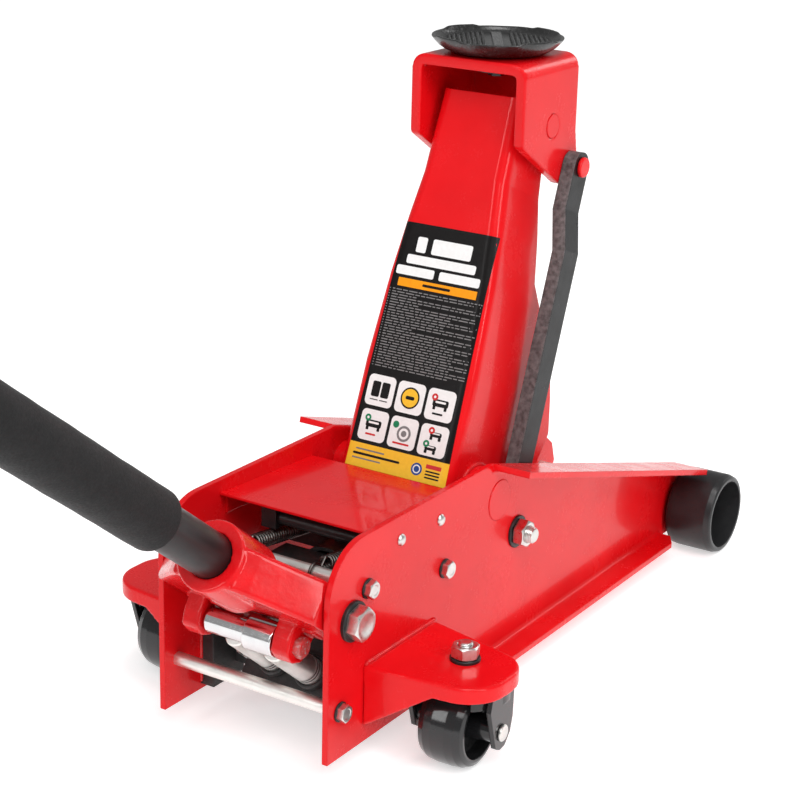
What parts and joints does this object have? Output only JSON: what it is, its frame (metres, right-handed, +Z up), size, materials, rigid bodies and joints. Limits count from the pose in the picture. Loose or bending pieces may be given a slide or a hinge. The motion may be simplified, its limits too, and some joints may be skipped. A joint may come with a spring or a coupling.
{
  "type": "hydraulic trolley jack",
  "caption": "Low steel trolley frame on wheels with a pivoting lift arm, a levelled round saddle, a hydraulic pump unit and a long pump handle.",
  "frame": {"origin": "on the floor under the middle of the whole jack's bounding box", "axes": "+X from the handle end to the front rollers, +Z up, Y across"},
  "size_m": [1.5186, 0.362, 0.8398],
  "materials": {
    "red_paint": "gloss",
    "zinc_steel": "satin",
    "chrome_steel": "polished",
    "black_steel": "semi-gloss",
    "black_casting": "satin",
    "spring_steel": "satin",
    "black_foam": "matte",
    "black_rubber": "matte"
  },
  "bodies": {
    "chassis": {"side_plate_right": "red_paint", "side_plate_left": "red_paint", "caster_bracket_right": "red_paint", "caster_bracket_left": "red_paint", "cover_plate": "red_paint", "cover_rivets": "zinc_steel", "cover_stay_rod": "zinc_steel", "rear_tie_rod": "chrome_steel", "spring_anchor_rod": "chrome_steel", "frame_bolts": "zinc_steel", "handle_pivot_bolts": "zinc_steel", "washers": "black_steel", "arm_shaft": "red_paint", "front_axle": "zinc_steel", "axle_rings": "zinc_steel", "link_pivot_bolts": "zinc_steel", "hex_nuts": "zinc_steel", "caster_king_bolts": "zinc_steel", "pump_block": "black_casting", "ram_cylinder": "black_casting", "reservoir_tank": "black_casting", "filler_plug": "black_casting", "unit_mounts": "black_casting", "plunger_wipers": "zinc_steel"},
    "arm": {"lift_arm": "red_paint", "arm_tubes": "red_paint", "arm_lever": "red_paint", "lever_pin": "zinc_steel"},
    "head": {"saddle_bracket": "red_paint", "head_pin": "red_paint", "link_pins": "zinc_steel"},
    "saddle": {"saddle": "black_casting", "saddle_screw": "black_casting"},
    "link_right": {"link_bar_right": "black_steel"},
    "link_left": {"link_bar_left": "black_steel"},
    "ram": {"piston_rod": "chrome_steel", "crosshead": "black_casting", "return_spring_right": "spring_steel", "return_spring_left": "spring_steel"},
    "socket": {"handle_socket": "red_paint", "roller_bolt": "zinc_steel"},
    "roller": {"pump_roller": "chrome_steel"},
    "handle": {"handle_lower_tube": "black_steel", "handle_upper_tube": "black_steel", "foam_sleeve": "black_foam", "handle_grip": "black_rubber", "handle_button": "chrome_steel"},
    "plunger_right": {"pump_plunger_right": "chrome_steel"},
    "plunger_left": {"pump_plunger_left": "chrome_steel"},
    "release_stem": {"release_valve_stem": "zinc_steel"},
    "caster_right": {"caster_fork_right": "black_steel", "caster_axle_right": "zinc_steel"},
    "caster_left": {"caster_fork_left": "black_steel", "caster_axle_left": "zinc_steel"},
    "caster_roll_right": {"caster_wheel_right": "black_casting"},
    "caster_roll_left": {"caster_wheel_left": "black_casting"},
    "front_roll_right": {"front_wheel_right": "black_casting"},
    "front_roll_left": {"front_wheel_left": "black_casting"}
  },
  "joints": [
    {"name": "arm_lift", "type": "hinge", "parent": "chassis", "child": "arm", "pos_m": [0.3668, 0, 0.155], "axis": [0, -1, 0], "range_deg": [-72.5, 0]},
    {"name": "head_level", "type": "hinge", "parent": "arm", "child": "head", "pos_m": [0.4753, 0, 0.445], "axis": [0, -1, 0], "range_deg": [0, 72.5]},
    {"name": "saddle_spin", "type": "hinge", "parent": "head", "child": "saddle", "pos_m": [0.4726, 0, 0.505], "axis": [0, 0, 1], "continuous": true},
    {"name": "link_right_swing", "type": "hinge", "parent": "chassis", "child": "link_right", "pos_m": [0.3978, -0.0685, 0.117], "axis": [0, -1, 0], "range_deg": [-72.5, 0]},
    {"name": "link_left_swing", "type": "hinge", "parent": "chassis", "child": "link_left", "pos_m": [0.3978, 0.0685, 0.117], "axis": [0, -1, 0], "range_deg": [-72.5, 0]},
    {"name": "ram_stroke", "type": "slide", "parent": "chassis", "child": "ram", "axis": [1, 0, 0], "range_m": [-0.0532, 0], "deforming": ["return_spring_right", "return_spring_left"]},
    {"name": "handle_pump", "type": "hinge", "parent": "chassis", "child": "socket", "pos_m": [0.1533, 0, 0.1268], "axis": [0, 1, 0], "range_deg": [-18, 32]},
    {"name": "roller_spin", "type": "hinge", "parent": "socket", "child": "roller", "pos_m": [0.12682, 0, 0.1075], "axis": [0, 1, 0], "continuous": true},
    {"name": "handle_twist", "type": "hinge", "parent": "socket", "child": "handle", "pos_m": [0.10759, 0, 0.16579], "axis": [-0.7923, 0, 0.6101], "range_deg": [0, 120]},
    {"name": "plunger_right_stroke", "type": "slide", "parent": "chassis", "child": "plunger_right", "axis": [0.766, 0, -0.6428], "range_m": [-0.0168, 0.0095]},
    {"name": "plunger_left_stroke", "type": "slide", "parent": "chassis", "child": "plunger_left", "axis": [0.766, 0, -0.6428], "range_m": [-0.0168, 0.0095]},
    {"name": "release_valve_turn", "type": "hinge", "parent": "chassis", "child": "release_stem", "pos_m": [0.1858, 0.032, 0.0536], "axis": [0.766, 0, -0.6428], "range_deg": [-122, 0]},
    {"name": "caster_right_swivel", "type": "hinge", "parent": "chassis", "child": "caster_right", "pos_m": [0.2238, -0.1367, 0.06], "axis": [0, 0, 1], "continuous": true},
    {"name": "caster_left_swivel", "type": "hinge", "parent": "chassis", "child": "caster_left", "pos_m": [0.2238, 0.1367, 0.06], "axis": [0, 0, 1], "continuous": true},
    {"name": "caster_right_roll", "type": "hinge", "parent": "caster_right", "child": "caster_roll_right", "pos_m": [0.2174, -0.13692, 0.035], "axis": [0.0349, -0.9994, 0], "continuous": true},
    {"name": "caster_left_roll", "type": "hinge", "parent": "caster_left", "child": "caster_roll_left", "pos_m": [0.2174, 0.13692, 0.035], "axis": [0.0349, 0.9994, 0], "continuous": true},
    {"name": "front_right_roll", "type": "hinge", "parent": "chassis", "child": "front_roll_right", "pos_m": [0.7208, -0.1, 0.0385], "axis": [0, 1, 0], "continuous": true},
    {"name": "front_left_roll", "type": "hinge", "parent": "chassis", "child": "front_roll_left", "pos_m": [0.7208, 0.1, 0.0385], "axis": [0, 1, 0], "continuous": true}
  ],
  "couplings": [
    {"joint": "head_level", "follows": "arm_lift", "ratio": -1},
    {"joint": "link_right_swing", "follows": "arm_lift", "ratio": 1},
    {"joint": "link_left_swing", "follows": "arm_lift", "ratio": 1},
    {"joint": "ram_stroke", "follows": "arm_lift", "m_per_rad": 0.04175},
    {"joint": "plunger_right_stroke", "follows": "handle_pump", "m_per_rad": -0.0295},
    {"joint": "plunger_left_stroke", "follows": "handle_pump", "m_per_rad": -0.0295},
    {"joint": "release_valve_turn", "follows": "handle_twist", "ratio": -1}
  ]
}
